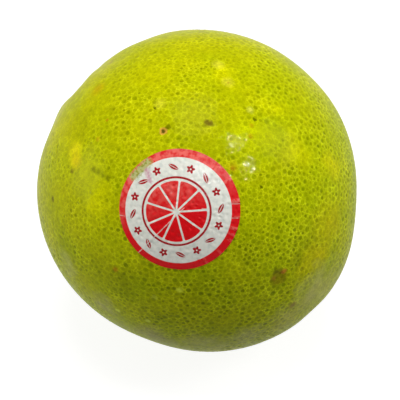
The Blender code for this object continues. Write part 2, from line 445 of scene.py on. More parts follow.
points = mesh_points(rind)
outward = unit(points)
owner = np.full(len(points), -1)
owner[corners[kind == MOUTH]] = middles[kind == MOUTH][:, None]
owner[pit_middles] = pit_middles
in_pit = owner >= 0
from_pit = np.zeros_like(points)
from_pit[in_pit] = points[in_pit] - points[owner[in_pit]]
rim = in_pit & (owner != np.arange(len(points)))
reach = np.linalg.norm(from_pit, axis=1)
total = np.bincount(owner[rim], reach[rim], len(points))
count = np.bincount(owner[rim], minlength=len(points))
mouth_radius = np.where(count > 0, total / np.maximum(count, 1), 1)
from_pit[in_pit] /= mouth_radius[owner[in_pit]][:, None]

stem = direction(*STEM_END)
from_stem = degrees_from(outward, stem)
base_radius = skin_radius(outward)
height_of_skin = MIDDLE.z + outward[:, 2] * base_radius
calm = 1 - cap(from_stem, SMOOTH_ROUND_STEM)
calm *= 1 - cap(180 - from_stem, SMOOTH_ROUND_SCAR)
calm *= np.clip(height_of_skin / SMOOTH_FOOT, 0, 1)

patchy = np.array([noise.noise(Vector(point) * MEAN_RADIUS / MARKED_PATCH) for point in outward])
for pixel, size in FAINT_PATCHES:
    away = np.radians(degrees_from(outward, skin_at_pixel(pixel))) * MEAN_RADIUS
    calm *= 1 - FADED * cap(away, size * MM)
# The side term paints the pits darker towards the shaded lower side.
marked = calm * (MARKED + MARKED_BY_SHADED_SIDE * outward @ np.array(SHADED_SIDE) + MARKED_BY_PATCH * patchy)
strength = np.zeros(len(points))
strength[pit_middles] = FAINTEST + STRENGTH_RANGE * random.beta(*STRENGTH_DRAW, len(pit_middles))
strength[in_pit] = strength[owner[in_pit]]
strength *= marked
height = np.zeros(len(points))
height[pit_middles] = -PIT_DEPTH * np.minimum(strength[pit_middles], DEEPEST_SHARE)
height[land_middles] = LAND_RISE * random.uniform(LEAST_RISE, 1, len(land_middles)) * calm[land_middles]
for pixel, radius, depth in DENTS.values():
    away = np.radians(degrees_from(outward, skin_at_pixel(pixel))) * MEAN_RADIUS
    height -= depth * MM * cap(away, radius * MM)

placed = np.array(MIDDLE) + outward * (base_radius + height)[:, None]
placed[:, 2] = np.maximum(placed[:, 2], 0)
move_points(rind, placed)

is_land_middle = np.zeros(len(points))
is_land_middle[land_middles] = 1
keep_values(rind, "from_pit", from_pit)
keep_values(rind, "pit_strength", strength)
keep_values(rind, "net_marked", marked)
keep_values(rind, "land_middle", is_land_middle)
keep_values(rind, "pit_mouth", kind == MOUTH, "FACE")
rind.data.attributes.remove(rind.data.attributes["bevel_weight_vert"])
rind.data.polygons.foreach_set("material_index", np.zeros(len(kind), np.int32))
rind.data.materials.clear()
rind.data.shade_smooth()
print("mouth width in mm:", round(2 * mouth_radius[pit_middles].mean() / MM, 2), "deepest pit:",
      round(-height.min() / MM, 2))

# %% [markdown]
# ## The rind's finish
# The rind is living plant skin under a thin natural wax: chlorophyll green in the glands, yellower in
# the net, yellowest where the sun reached it, and dull to satin. The graph first makes the broad
# change of colour over the fruit. The net then gets thin bright rims round the mouths, which come and
# go: a painted highlight for the glints and lit walls at the pit mouths. The pits get their darker
# discs. Marks, lumps and fine grain follow. The wax reflects little where it is seen square on and more
# at a glancing angle, which pales the fruit towards its outline.

# %% Rind: broad colour and pits
# The rim colours are a painted highlight: bright rims round the pit mouths for glints and lit pit walls.
NET_COLOURS, RIM_GLINT_COLOURS = ("#AEBE00", "#CCCD00"), ("#F0FC18", "#FCFE20")  # green and yellow
PIT_COLOURS = ("#8A9E00", "#A5AA00")
SUNNY_SIDE = direction(134, 41)
RIPE_PATCH, GLINT_PATCH, RAGGED_EDGE = 18 * MM, 2.5 * MM, 0.9 * MM

rind_skin = empty_material("waxed_green_citrus_rind")
on_rind = partial(add_node, rind_skin)
place = on_rind("TexCoord", output="Object")
from_core = on_rind("VectorMath SUBTRACT", [place, MIDDLE])
sunny = on_rind("VectorMath DOT_PRODUCT", [from_core, SUNNY_SIDE / MEAN_RADIUS], "Value")
shaded = on_rind("MapRange", [sunny, -0.3, -0.9, 0, 0.45])
sunny = on_rind("MapRange", [sunny, -0.8, 1.0])
sunny = on_rind("Math ADD", [sunny, shaded])
patches = on_rind("TexNoise", {"Vector": place, "Scale": 1 / RIPE_PATCH, "Detail": 4})
ripe = on_rind("Math MULTIPLY_ADD", [patches, 1.4, -0.7])
ripe = on_rind("Math ADD", [sunny, ripe], use_clamp=True)
net, rim, pit = [
    on_rind("Mix", {FACTOR: ripe, FIRST: linear(green), SECOND: linear(yellow)}, **COLOURS)
    for green, yellow in (NET_COLOURS, RIM_GLINT_COLOURS, PIT_COLOURS)]

mouth, strong, land, marked_here = [
    on_rind("Attribute", output="Fac", attribute_name=name)
    for name in ("pit_mouth", "pit_strength", "land_middle", "net_marked")]
from_middle = on_rind("Attribute", output="Vector", attribute_name="from_pit")
distance = on_rind("VectorMath LENGTH", [from_middle], "Value")
ragged = on_rind("TexNoise", {"Vector": place, "Scale": 1 / RAGGED_EDGE, "Detail": 1})
distance = on_rind("Math MULTIPLY_ADD", [ragged, 0.4, distance])

# Painted highlight: where the bright rims show round the mouths and how strongly, coming and going in
# patches.
inside = on_rind("MapRange", [distance, 0.85, 1.2], interpolation_type="SMOOTHSTEP")
outside = on_rind("MapRange", [land, 0, 0.7, 1, 0.2])
lip_glint = on_rind("Mix", {FACTOR: mouth, FIRST_NUMBER: outside, SECOND_NUMBER: inside})
glint_flicker = on_rind("TexNoise", {"Vector": place, "Scale": 1 / GLINT_PATCH, "Detail": 2})
glint_flicker = on_rind("MapRange", [glint_flicker, 0.4, 0.62, 0.3])
for share in (glint_flicker, marked_here):
    lip_glint = on_rind("Math MULTIPLY", [lip_glint, share])
colour = on_rind("Mix", {FACTOR: lip_glint, FIRST: net, SECOND: rim}, **COLOURS)

disc = on_rind("MapRange", [distance, 1.25, 0.45], interpolation_type="SMOOTHSTEP")
gland = on_rind("Math MULTIPLY", [disc, mouth])
gland = on_rind("Math MULTIPLY", [gland, strong], use_clamp=True)
colour = on_rind("Mix", {FACTOR: gland, FIRST: colour, SECOND: pit}, **COLOURS)

# %% [markdown]
# ## Marks that the fruit got on the tree, with painted shade and reflection
# No fruit is clean: this one has healed bites, rubbed and bruised spots, dark specks, and patches that
# are yellower than the rest. Darker green patches are painted shade in the dent on the right flank and
# low on the fruit, with a painted shadow beside the healed bite and painted shade over a cluster of pits.
# A pale haze low down along the outline is a painted reflection of the white floor in the wax. Those on
# the front are placed where the photograph shows them. Over the rest of the fruit a seeded draw scatters
# more of the same kinds. Every mark is a distance from its place, turned into a share of its own colour.
# The places are first pushed about by a noise, so that no mark is a round disc: by a fine one for small
# marks, which get ragged outlines, and by a wide one for broad patches, which get uneven shapes.

# %% Marks
MARKS = [  # pixel, radius in mm, soft share of it, colour, strength; a note starts each kind
    # Painted shade: these darker green patches stand for shade in the dent on the right flank, low on the
    # fruit and on the upper left.
    ((252, 247), 11, 0.9, "#7A8600", 0.28), ((302, 248), 9, 0.9, "#7A8600", 0.45),  # greener patches
    ((125, 283), 10, 0.9, "#7C8800", 0.45), ((158, 318), 9, 0.9, "#6E7A00", 0.35),
    ((100, 270), 9, 0.9, "#8A9400", 0.35), ((84, 124), 9, 0.9, "#A0A600", 0.4),
    ((248, 138), 12, 0.9, "#ECF200", 0.45), ((225, 72), 8, 0.9, "#F6F000", 0.6),  # yellower patches
    ((275, 105), 9, 0.9, "#F2EE00", 0.5), ((92, 172), 9, 0.9, "#F0F000", 0.5),
    ((298, 150), 11, 0.9, "#F0EC00", 0.55), ((100, 197), 8, 0.9, "#F0F000", 0.6),
    ((330, 165), 9, 0.9, "#F0E400", 0.5), ((225, 318), 8, 0.9, "#D8D800", 0.3),
    ((330, 222), 12, 0.9, "#ECD200", 0.4), ((318, 258), 12, 0.9, "#ECD200", 0.4),
    # Painted reflection: these pale patches along the lower outline stand for the white floor reflected in
    # the wax.
    ((316, 288), 15, 0.9, "#E6DE8C", 0.55), ((286, 318), 12, 0.9, "#DCD480", 0.4),  # pale bloom
    ((247, 336), 11, 0.9, "#E2E090", 0.5), ((205, 343), 12, 0.9, "#DEDC8C", 0.45),
    ((155, 336), 12, 0.9, "#B8AA80", 0.5), ((106, 306), 10, 0.9, "#CCC488", 0.45),
    ((70, 268), 9, 0.9, "#DEDC8C", 0.4),
    ((163, 131), 1.9, 0.25, "#F0AC44", 0.85), ((163, 131), 1.1, 0.4, "#54500C", 0.9),  # healed bite
    # Painted shadow: the dark olive patch just up and to the right of the healed bite.
    ((168, 127), 1.6, 0.6, "#6E7000", 0.75),
    ((207, 122.5), 1.9, 0.6, "#7C6810", 0.9), ((210.5, 123), 1.6, 0.6, "#7C6810", 0.85),  # smudge
    ((254.5, 119.5), 1.2, 0.5, "#5E6600", 0.9), ((154.7, 107.8), 0.9, 0.5, "#5E6600", 0.9),  # specks
    ((261, 187), 0.9, 0.5, "#5E6600", 0.9), ((72, 171), 1.6, 0.6, "#6C6408", 0.8),
    ((53, 199), 1.9, 0.6, "#6C6408", 0.75), ((81, 269), 0.9, 0.6, "#646C08", 0.6),
    ((120, 80), 0.8, 0.6, "#7E8600", 0.6), ((136, 99), 0.8, 0.6, "#7E8600", 0.6),
    ((251.5, 125.5), 1.6, 0.8, "#CCA410", 0.6), ((250.7, 136.5), 1.7, 0.8, "#C89810", 0.6),  # rubbed orange
    ((232, 167), 3.6, 0.9, "#CCB00C", 0.6),
    ((232.6, 168.3), 1.5, 0.7, "#C08A10", 0.8), ((107, 120), 1.0, 0.6, "#D09010", 0.7),
    ((115.5, 269.5), 1.9, 0.7, "#C88414", 0.8), ((111, 62), 2.0, 0.8, "#C89A50", 0.5),
    ((279, 277.5), 4.9, 0.4, "#80680C", 0.6), ((284, 271.5), 1.8, 0.6, "#D88A28", 0.85),  # bruise
    ((274, 278.5), 1.6, 0.7, "#B88428", 0.7), ((276, 271.5), 1.5, 0.6, "#5E5A0C", 0.6),
    ((292.7, 305), 2.6, 0.6, "#9A8040", 0.75), ((61, 237), 1.5, 0.7, "#84781A", 0.5),
    ((201, 32), 2.4, 0.8, "#A08C30", 0.5),
    ((75, 151), 5.6, 0.8, "#FCF018", 0.8), ((76, 161), 4.8, 0.8, "#FCE818", 0.8),  # sunburnt patches
    ((98, 89), 4.6, 0.9, "#DCB400", 0.65), ((218, 64.5), 3.6, 0.8, "#F4EC40", 0.6),
    ((228, 82), 3.6, 0.8, "#F0E640", 0.6), ((228.5, 83), 0.7, 0.6, "#B88C20", 0.6),
    ((250, 110), 2.2, 0.8, "#F6F45C", 0.7), ((160, 103.5), 3.4, 0.8, "#ECE838", 0.55),
    # In the next line, the darker olive patch after the orange spot is painted shade over a cluster of
    # pits.
    ((98, 139), 1.7, 0.8, "#D8A010", 0.5), ((112, 109), 3.2, 0.9, "#7C8600", 0.45),
    ((93.5, 169.5), 1.9, 0.8, "#666E00", 0.75), ((98, 172), 1.8, 0.8, "#6E7600", 0.65),  # shaded furrow
    ((103, 175), 1.8, 0.8, "#6E7600", 0.6), ((108, 178), 1.9, 0.8, "#666E00", 0.75),
    ((179.6, 290), 1.9, 0.6, "#F4FF40", 0.9), ((148, 321), 1.6, 0.6, "#ECF850", 0.8),  # pale bumps
    ((118, 310.5), 1.6, 0.6, "#ECF850", 0.8), ((154.7, 297.5), 1.8, 0.8, "#E4EE40", 0.7),
]
END_MARKS = [  # round the button, and the scar where the blossom was
    (stem, 9.5, 0.6, "#9C9430", 0.5), (stem, 7.6, 0.25, "#8A7A36", 0.6),
    (-stem, 3.4, 0.5, "#A08C3C", 0.7), (-stem, 1.5, 0.4, "#5C4826", 0.85),
]
BACK_MARKS, BACK_SEED = 24, 5
FRONT = 0.1  # cosine of the angle from the camera within which none of those is set
BACK_KINDS = [  # smallest and largest radius in mm, soft share, colour, strength
    (0.7, 1.2, 0.5, "#5E6600", 0.85), (0.8, 1.8, 0.6, "#8A701C", 0.75),
    (0.9, 1.6, 0.6, "#C88E18", 0.7), (2.0, 3.6, 0.8, "#DCCC00", 0.65),
]
BROAD = 7  # radius in mm from which a mark is a broad patch


def pushed_about(wavelength, reach):
    """The place on the rind, pushed about by a noise."""
    push = on_rind("TexNoise", {"Vector": place, "Scale": 1 / wavelength, "Detail": 2}, "Color")
    push = on_rind("VectorMath SUBTRACT", [push, (0.5, 0.5, 0.5)])
    push = on_rind("VectorMath SCALE", {0: push, "Scale": 2 * reach})
    return on_rind("VectorMath ADD", [place, push])


marks = [(skin_at_pixel(pixel), *look) for pixel, *look in MARKS]
marks += [(end, *look) for end, *look in END_MARKS]
placed_marks = len(marks)
random = np.random.default_rng(BACK_SEED)
while len(marks) < placed_marks + BACK_MARKS:
    where = Vector(random.normal(size=3)).normalized()
    smallest, largest, soft, colour_name, share = BACK_KINDS[random.integers(len(BACK_KINDS))]
    size = random.uniform(smallest, largest)
    if where.dot(towards_camera) < FRONT:
        marks.append((where, size, soft, colour_name, share))
torn, stretched = pushed_about(1.6 * MM, 0.8 * MM), pushed_about(11 * MM, 9 * MM)
for where, size, soft, colour_name, share in marks:
    middle = MIDDLE + where * float(skin_radius(np.array([where]))[0])
    near = stretched if size > BROAD else torn
    away = on_rind("VectorMath DISTANCE", [near, middle], "Value")
    spot = on_rind("MapRange", [away, size * MM, size * (1 - soft) * MM, 0, share])
    colour = on_rind("Mix", {FACTOR: spot, FIRST: colour, SECOND: linear(colour_name)}, **COLOURS)
print("marks:", len(marks))

# %% [markdown]
# The last step for the rind is unevenness at two sizes. Lumps of 3 mm vary the brightness and tilt the
# surface a little, and a grain of 0.7 mm takes the plastic look away. The wax coat follows only the
# fine grain, so that its glints are small and broken.

# %% Rind: lumps, grain and wax
GRAIN, LUMP = 0.7 * MM, 3.0 * MM

grain = on_rind("TexNoise", {"Vector": place, "Scale": 1 / GRAIN, "Detail": 3})
lumps = on_rind("TexNoise", {"Vector": place, "Scale": 1 / LUMP, "Detail": 3, "Roughness": 0.6})
shade = on_rind("MapRange", [grain, 0.3, 0.7, 0.76, 1.02])
uneven = on_rind("MapRange", [lumps, 0.32, 0.68, 0.86, 1.16])
for brightness in (shade, uneven):
    colour = on_rind("VectorMath SCALE", {0: colour, "Scale": brightness})
swells = on_rind("Bump", {"Height": lumps, "Strength": 0.6, "Distance": 0.30 * MM})
relief = on_rind("Bump", {"Height": grain, "Strength": 0.5, "Distance": 0.06 * MM, "Normal": swells})
fine_relief = on_rind("Bump", {"Height": grain, "Strength": 0.35, "Distance": 0.06 * MM})
dull = on_rind("MapRange", [grain, 0, 1, 0.28, 0.42])
wax = on_rind("BsdfPrincipled", {
    "Base Color": colour, "Roughness": dull, "Normal": relief,
    "IOR": 1.45, "Specular IOR Level": 0.02, "Specular Tint": linear("#E8F000"),
    "Coat Weight": 0.03, "Coat Roughness": 0.05, "Coat Normal": fine_relief})
on_rind("OutputMaterial", [wax])
rind.data.materials.append(rind_skin)
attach(rind, "root")
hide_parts("grapefruit_body")
print("rind graph:", len(rind_skin.node_tree.nodes), "nodes")

# %% [markdown]
# ## The label
# The label is a disc of thin printed plastic film, stuck on by hand. It follows the fruit, sinks a
# little into the larger pits, and has one sharp crease. It is modelled flat: a round face is inset
# again and again until it has rings fine enough to bend, gets the thickness of the film, and is then
# laid over the skin. Its flat plan is kept as its UV map, so that the print bends with it.

# %% Model the label flat
LABEL_PLACE = (-98.3, 33.0)
LABEL_RADIUS = 26.25 * MM
LABEL_RINGS, LABEL_STEPS = 72, 288
FILM_THICKNESS = 0.12 * MM

bpy.ops.mesh.primitive_circle_add(vertices=LABEL_STEPS, radius=LABEL_RADIUS, fill_type="NGON")
label = bpy.context.object
label.name = "printed_round_label"
bpy.ops.object.mode_set(mode="EDIT")
bpy.ops.mesh.select_all(action="SELECT")
for _ in range(LABEL_RINGS - 1):
    bpy.ops.mesh.inset(thickness=LABEL_RADIUS / LABEL_RINGS)
bpy.ops.mesh.poke()
bpy.ops.object.mode_set(mode="OBJECT")
film = label.modifiers.new("film_thickness", "SOLIDIFY")
film.thickness = FILM_THICKNESS
film.offset = 1
bpy.ops.object.modifier_apply(modifier=film.name)
plan = mesh_points(label)
corner_of = np.array([loop.vertex_index for loop in label.data.loops])
uv_map = label.data.uv_layers[0]
uv_map.name = "label_plan"
uv_map.data.foreach_set("uv", (plan[corner_of, :2] / (2 * LABEL_RADIUS) + 0.5).astype(np.float32).ravel())
print("label faces:", len(label.data.polygons))

# %% [markdown]
# The film is pressed down into each pit under it. It stands up along the crease, a straight line from
# the lower left rim to the middle, and in short folds along the right rim, where a flat disc has too
# much edge for a round fruit. The distance from a crease is worked out on the flat plan.

# %% Lay the label on the skin
FILM_GAP = 0.12 * MM
FILM_DIP = 0.27 * MM
CREASE_HEIGHT, CREASE_WIDTH = 0.16 * MM, 0.30 * MM
CREASE_PIXELS = (138, 253), (184, 208)
FOLD_HEIGHT, FOLDS_PER_TURN, FOLD_START = 0.24 * MM, 64, 14 * MM
FOLD_SIDE, FOLD_SPREAD, FOLD_DRAW = 0.35, 0.15, 7  # turn of their middle in radians, reach past it, seed
SHARP_ANGLE = math.radians(50)


def lay_on_skin(piece, outward, gap):
    """Bends a piece modelled flat over the origin on to the skin, with its +Z outwards."""
    level, upward = axes_at(outward)
    flat = mesh_points(piece)
    tilt = np.linalg.norm(flat[:, :2], axis=1) / MEAN_RADIUS
    side = np.outer(flat[:, 0], level) + np.outer(flat[:, 1], upward)
    side *= (np.sinc(tilt / math.pi) / MEAN_RADIUS)[:, None]
    points = np.array(outward) * np.cos(tilt)[:, None] + side
    move_points(piece, np.array(MIDDLE) + points * (skin_radius(points) + gap + flat[:, 2])[:, None])


def plan_at_pixel(pixel):
    """The place on the flat plan of the label that shows at a pixel."""
    outward = direction(*LABEL_PLACE)
    level, upward = axes_at(outward)
    seen_at = skin_at_pixel(pixel)
    tilt = seen_at.angle(outward)
    side = Vector((seen_at.dot(level), seen_at.dot(upward)))
    return side.normalized() * tilt * MEAN_RADIUS


def from_line(places, start, end):
    """How far places on the plan lie from a straight line between two points."""
    run = np.array(end) - np.array(start)
    share = np.clip((places - np.array(start)) @ run / (run @ run), 0, 1)
    return np.linalg.norm(places - np.array(start) - share[:, None] * run, axis=1)


crease = [plan_at_pixel(pixel) for pixel in CREASE_PIXELS]
flat = plan[:, :2]
ridge = CREASE_HEIGHT * np.exp(-(from_line(flat, *crease) / CREASE_WIDTH) ** 2)
turn = np.arctan2(flat[:, 1], flat[:, 0])
rim_share = np.clip((np.linalg.norm(flat, axis=1) - FOLD_START) / (LABEL_RADIUS - FOLD_START), 0, 1)
on_right = np.clip(np.cos(turn - FOLD_SIDE) + FOLD_SPREAD, 0, 1)
folded = [noise.noise(Vector((angle * FOLDS_PER_TURN / math.tau, 0, FOLD_DRAW))) for angle in turn]
folds = FOLD_HEIGHT * rim_share * on_right * np.clip(folded, 0, 1) * 2
keep_values(label, "stands_proud", folds / FOLD_HEIGHT)

lay_on_skin(label, direction(*LABEL_PLACE), 0)
pit_tree = kdtree.KDTree(len(pit_middles))
for index, pit_place in zip(pit_middles, outward[pit_middles]):
    pit_tree.insert(pit_place * MEAN_RADIUS, index)
pit_tree.balance()
dips = np.zeros(len(plan))
for index, point in enumerate(unit(mesh_points(label) - np.array(MIDDLE))):
    _, nearest, away = pit_tree.find(point * MEAN_RADIUS)
    share = away / mouth_radius[nearest]
    dips[index] = -FILM_DIP * min(strength[nearest], DEEPEST_SHARE) * max(1 - share ** 2, 0) ** 2
move_points(label, plan)
lay_on_skin(label, direction(*LABEL_PLACE), FILM_GAP + dips + ridge + folds)
label.data.shade_smooth()
label.select_set(True)
bpy.context.view_layer.objects.active = label
bpy.ops.object.shade_smooth_by_angle(angle=SHARP_ANGLE)
print("deepest dip of the film in mm:", round(-dips.min() / MM, 2))

# %% [markdown]
# ## The label's print
# Such labels are printed in one red on white film. The design here is a plain one: a red border, a
# slice of citrus in a thin ring, and blossoms and leaves in turn between them. It is drawn by
# arithmetic on the flat plan in millimetres. Each shape is a distance that is above zero inside it, and
# one step turns all of them into ink. Angles are folded, so that one wedge or one blossom makes all.

# %% Border, ring and citrus slice
FIELD_MIDDLE, FIELD_RADIUS = (-0.4, -0.3, 0), 22.9
RING_MIDDLE, RING_RADIUS, RING_LINE = (-1.0, -0.4, 0), 14.5, 1.0
SLICE_WEDGES, SLICE_RADIUS, SLICE_SKIN, CORNER = 9, 13.1, 0.7, 1.1
SLICE_TURN = 0.2

label_film = empty_material("printed_plastic_label_film")
on_label = partial(add_node, label_film)
uv_plan = on_label("UVMap", uv_map="label_plan")
centred = on_label("VectorMath SUBTRACT", [uv_plan, (0.5, 0.5, 0)])
on_plan = on_label("VectorMath SCALE", {0: centred, "Scale": 2 * LABEL_RADIUS / MM})


def folded_angle(angle, count):
    """The angle from the nearest of that many spokes."""
    return on_label("Math WRAP", [angle, math.pi / count, -math.pi / count])


from_field = on_label("VectorMath DISTANCE", [on_plan, FIELD_MIDDLE], "Value")
border = on_label("Math SUBTRACT", [from_field, FIELD_RADIUS])
in_ring = on_label("VectorMath SUBTRACT", [on_plan, RING_MIDDLE])
from_ring = on_label("VectorMath LENGTH", [in_ring], "Value")
side_x, side_y = [on_label("SeparateXYZ", [in_ring], side) for side in "XY"]
angle = on_label("Math ARCTAN2", [side_y, side_x])
ring = on_label("Math SUBTRACT", [from_ring, RING_RADIUS])
ring = on_label("Math ABSOLUTE", [ring])
ring = on_label("Math SUBTRACT", [RING_LINE / 2, ring])
wedge = on_label("Math ADD", [angle, SLICE_TURN])
wedge = on_label("Math ABSOLUTE", [folded_angle(wedge, SLICE_WEDGES)])
wedge = on_label("Math SUBTRACT", [math.pi / SLICE_WEDGES, wedge])
wedge = on_label("Math SINE", [wedge])
wedge = on_label("Math MULTIPLY_ADD", [wedge, from_ring, -SLICE_SKIN / 2])
outer_end = on_label("Math SUBTRACT", [SLICE_RADIUS, from_ring])
wedge = on_label("Math SMOOTH_MIN", [wedge, outer_end, CORNER])

# %% Blossoms and leaves
MOTIFS, MOTIF_RADIUS, MOTIF_TURN = 16, 18.9, 0.24
PETALS, PETAL_REACH, PETAL_DEPTH, EYE = 5, 1.55, 0.42, 0.3
LEAF_LENGTH, LEAF_WIDTH, LEAF_RIB, LEAF_SLANT = 3.1, 1.15, 0.09, 0.6

turned = on_label("Math ADD", [angle, MOTIF_TURN])
local = folded_angle(turned, MOTIFS)
sideways = on_label("Math SINE", [local])
sideways = on_label("Math MULTIPLY", [sideways, from_ring])
outwards = on_label("Math COSINE", [local])
outwards = on_label("Math MULTIPLY_ADD", [outwards, from_ring, -MOTIF_RADIUS])
in_motif = on_label("CombineXYZ", [sideways, outwards])
from_motif = on_label("VectorMath LENGTH", [in_motif], "Value")
petal = on_label("Math ARCTAN2", [sideways, outwards])
petal = on_label("Math MULTIPLY", [petal, PETALS])
petal = on_label("Math COSINE", [petal])
blossom = on_label("Math MULTIPLY_ADD", [petal, PETAL_DEPTH, PETAL_REACH])
blossom = on_label("Math SUBTRACT", [blossom, from_motif])
eye = on_label("Math SUBTRACT", [from_motif, EYE])
blossom = on_label("Math MINIMUM", [blossom, eye])
leaf_axis = Vector((1, LEAF_SLANT, 0)) / LEAF_LENGTH
along = on_label("VectorMath DOT_PRODUCT", [in_motif, leaf_axis], "Value")
aslant = on_label("VectorMath DOT_PRODUCT", [in_motif, (-LEAF_SLANT, 1, 0)], "Value")
aslant = on_label("Math ABSOLUTE", [aslant])
leaf = on_label("Math MULTIPLY", [along, along])
leaf = on_label("Math MULTIPLY_ADD", [leaf, -LEAF_WIDTH, LEAF_WIDTH])
leaf = on_label("Math SUBTRACT", [leaf, aslant])
rib = on_label("Math SUBTRACT", [aslant, LEAF_RIB])
leaf = on_label("Math MINIMUM", [leaf, rib])
every_other = on_label("Math SUBTRACT", [turned, local])
every_other = on_label("Math MULTIPLY", [every_other, MOTIFS / 2])
every_other = on_label("Math COSINE", [every_other])
is_blossom = on_label("Math GREATER_THAN", [every_other, 0])
motif = on_label("Mix", {FACTOR: is_blossom, FIRST_NUMBER: leaf, SECOND_NUMBER: blossom})
print("label graph:", len(label_film.node_tree.nodes), "nodes")

# %% [markdown]
# ## Ink, wear and film
# The ink is a strong red. It is painted paler on the side turned up, a painted sheen of the overhead
# light, and paler on the folds at the right, a painted highlight of their shine; short white streaks on
# the right border are painted glints. It is rubbed through along the crease. In a patch at the upper
# left rim the print is gone, and the rind shows dimly through the clear film. The white is mottled with
# a little grey. A clear coat gives ink and white alike a thin shine.

# %% Ink and wear
INK, INK_SHEEN, LINE_INK = linear("#F0000E"), linear("#FF746A"), linear("#B4101A")
FILM_WHITE, FILM_MOTTLED = linear("#FCFCF0"), linear("#D2DAD0")
BARE_OLIVE, BARE_DARK, RUBBED_PINK = linear("#C6CE86"), linear("#9CAA42"), linear("#DCA2B2")
PRINT_EDGE = 0.10  # mm over which the ink ends
# Painted sheen: the direction on the plan towards which the red is painted paler, for the overhead light's
# reflection.
SHEEN_SIDE = (115, 0)  # the direction on the plan in which the ink is rubbed thin
RUBBED_PIXELS, INNER_RUBBED_PIXELS = ((134, 176), (148, 162.5)), ((147, 170), (150, 181))
# Painted glints: short white streaks on the right border of the label.
GLINT_STREAK_PIXELS = [
    ((231, 204), (240, 203.6)), ((232, 218), (238, 218)), ((202, 208.5), (207, 209)),
    ((120, 215), (125, 216)),
]


def speckle(size, low, high, least=0, most=1):
    """Patches of a size in mm on the plan, as numbers from the least to the most."""
    patches = on_label("TexNoise", {"Vector": on_plan, "Scale": 1 / size, "Detail": 2})
    return on_label("MapRange", [patches, low, high, least, most], interpolation_type="SMOOTHSTEP")


def line_mask(pixels, half_width, softness, share):
    """The share on a straight line between two pixels, and 0 away from it. The widths are in mm."""
    start, end = [plan_at_pixel(pixel).to_3d() / MM for pixel in pixels]
    run = end - start
    moved = on_label("VectorMath SUBTRACT", [on_plan, start])
    along = on_label("VectorMath DOT_PRODUCT", [moved, run / run.length_squared], "Value")
    along = on_label("Clamp", [along])
    nearest = on_label("VectorMath SCALE", {0: run, "Scale": along})
    away = on_label("VectorMath DISTANCE", [moved, nearest], "Value")
    away = on_label("Math MULTIPLY_ADD", [wobble, softness, away])
    return on_label("MapRange", [away, half_width + softness, half_width - softness / 2, 0, share])


wobble = speckle(0.9, 0.3, 0.7)
mottled = speckle(2.2, 0.42, 0.72, 0, 0.5)
clear_film = on_label("Mix", {FACTOR: mottled, FIRST: FILM_WHITE, SECOND: FILM_MOTTLED}, **COLOURS)
big_ink, fine_ink = [
    on_label("Math MULTIPLY", [on_label("Math MAXIMUM", shapes), 1 / PRINT_EDGE], use_clamp=True)
    for shapes in ([border, wedge], [ring, motif])]
# Painted sheen: the red grows paler towards the side turned up.
upper_sheen = on_label("VectorMath DOT_PRODUCT", [on_plan, direction(*SHEEN_SIDE)], "Value")
upper_sheen = on_label("MapRange", [upper_sheen, -2, 17, 0, 0.75])
upper_sheen = on_label("Math MULTIPLY", [upper_sheen, speckle(2.6, 0.35, 0.62, 0.2, 1.3)])
# Painted highlight: the red is paler on the folds that stand proud at the right, for their shine.
fold_highlight = on_label("Attribute", output="Fac", attribute_name="stands_proud")
fold_highlight = on_label("MapRange", [fold_highlight, 0.10, 0.5, 0, 0.9])
fold_highlight = on_label("Math MULTIPLY", [fold_highlight, speckle(1.2, 0.36, 0.52)])
painted_pale_red = on_label("Math MAXIMUM", [upper_sheen, fold_highlight])
red = on_label("Mix", {FACTOR: painted_pale_red, FIRST: INK, SECOND: INK_SHEEN}, **COLOURS)
printed = on_label("Mix", {FACTOR: fine_ink, FIRST: clear_film, SECOND: LINE_INK}, **COLOURS)
printed = on_label("Mix", {FACTOR: big_ink, FIRST: printed, SECOND: red}, **COLOURS)

bare = speckle(1.3, 0.45, 0.6)
bare = on_label("Mix", {FACTOR: bare, FIRST: BARE_OLIVE, SECOND: BARE_DARK}, **COLOURS)
wear_and_glints = [  # the two pixels of a line, half its width and its soft edge in mm, share, what shows there
    (RUBBED_PIXELS, 2.0, 1.0, 0.95, bare),
    (INNER_RUBBED_PIXELS, 1.1, 1.0, 0.85, RUBBED_PINK),
    # The short white streaks on the right border are painted glints; the other lines are wear.
    *[(pixels, 0.16, 0.12, 0.55, FILM_WHITE) for pixels in GLINT_STREAK_PIXELS],
    (CREASE_PIXELS, 0.2, 0.14, 0.7, FILM_WHITE),
]
for *line, shows in wear_and_glints:
    printed = on_label("Mix", {FACTOR: line_mask(*line), FIRST: printed, SECOND: shows}, **COLOURS)

# %% Film
FILM_CRINKLE = 1.3  # mm

film_grain = on_label("TexNoise", {"Vector": on_plan, "Scale": 1 / FILM_CRINKLE, "Detail": 3})
ripple = on_label("Bump", {"Height": film_grain, "Strength": 0.6, "Distance": 0.16 * MM})
gloss = on_label("BsdfPrincipled", {
    "Base Color": printed, "Roughness": 0.5, "Normal": ripple, "Specular IOR Level": 0.05,
    "Coat Weight": 0.5, "Coat IOR": 1.25, "Coat Roughness": 0.12, "Coat Normal": ripple})
on_label("OutputMaterial", [gloss])
label.data.materials.clear()
label.data.materials.append(label_film)
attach(label, "root")
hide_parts("round_sticker")
print("label graph:", len(label_film.node_tree.nodes), "nodes")

# %% [markdown]
# ## The stem button
# A ripe citrus fruit is clipped from its stalk. What stays is the button: a dry calyx with five blunt
# lobes, pressed to the rind, and the cut end of the stem in its middle. It is modelled flat like the
# label. A short cylinder gets a sloping shoulder, a collar and a hollow cut face by insets that also
# push down or pull up, is rounded by subdivision, and is then pulled into lobes and wrinkled.

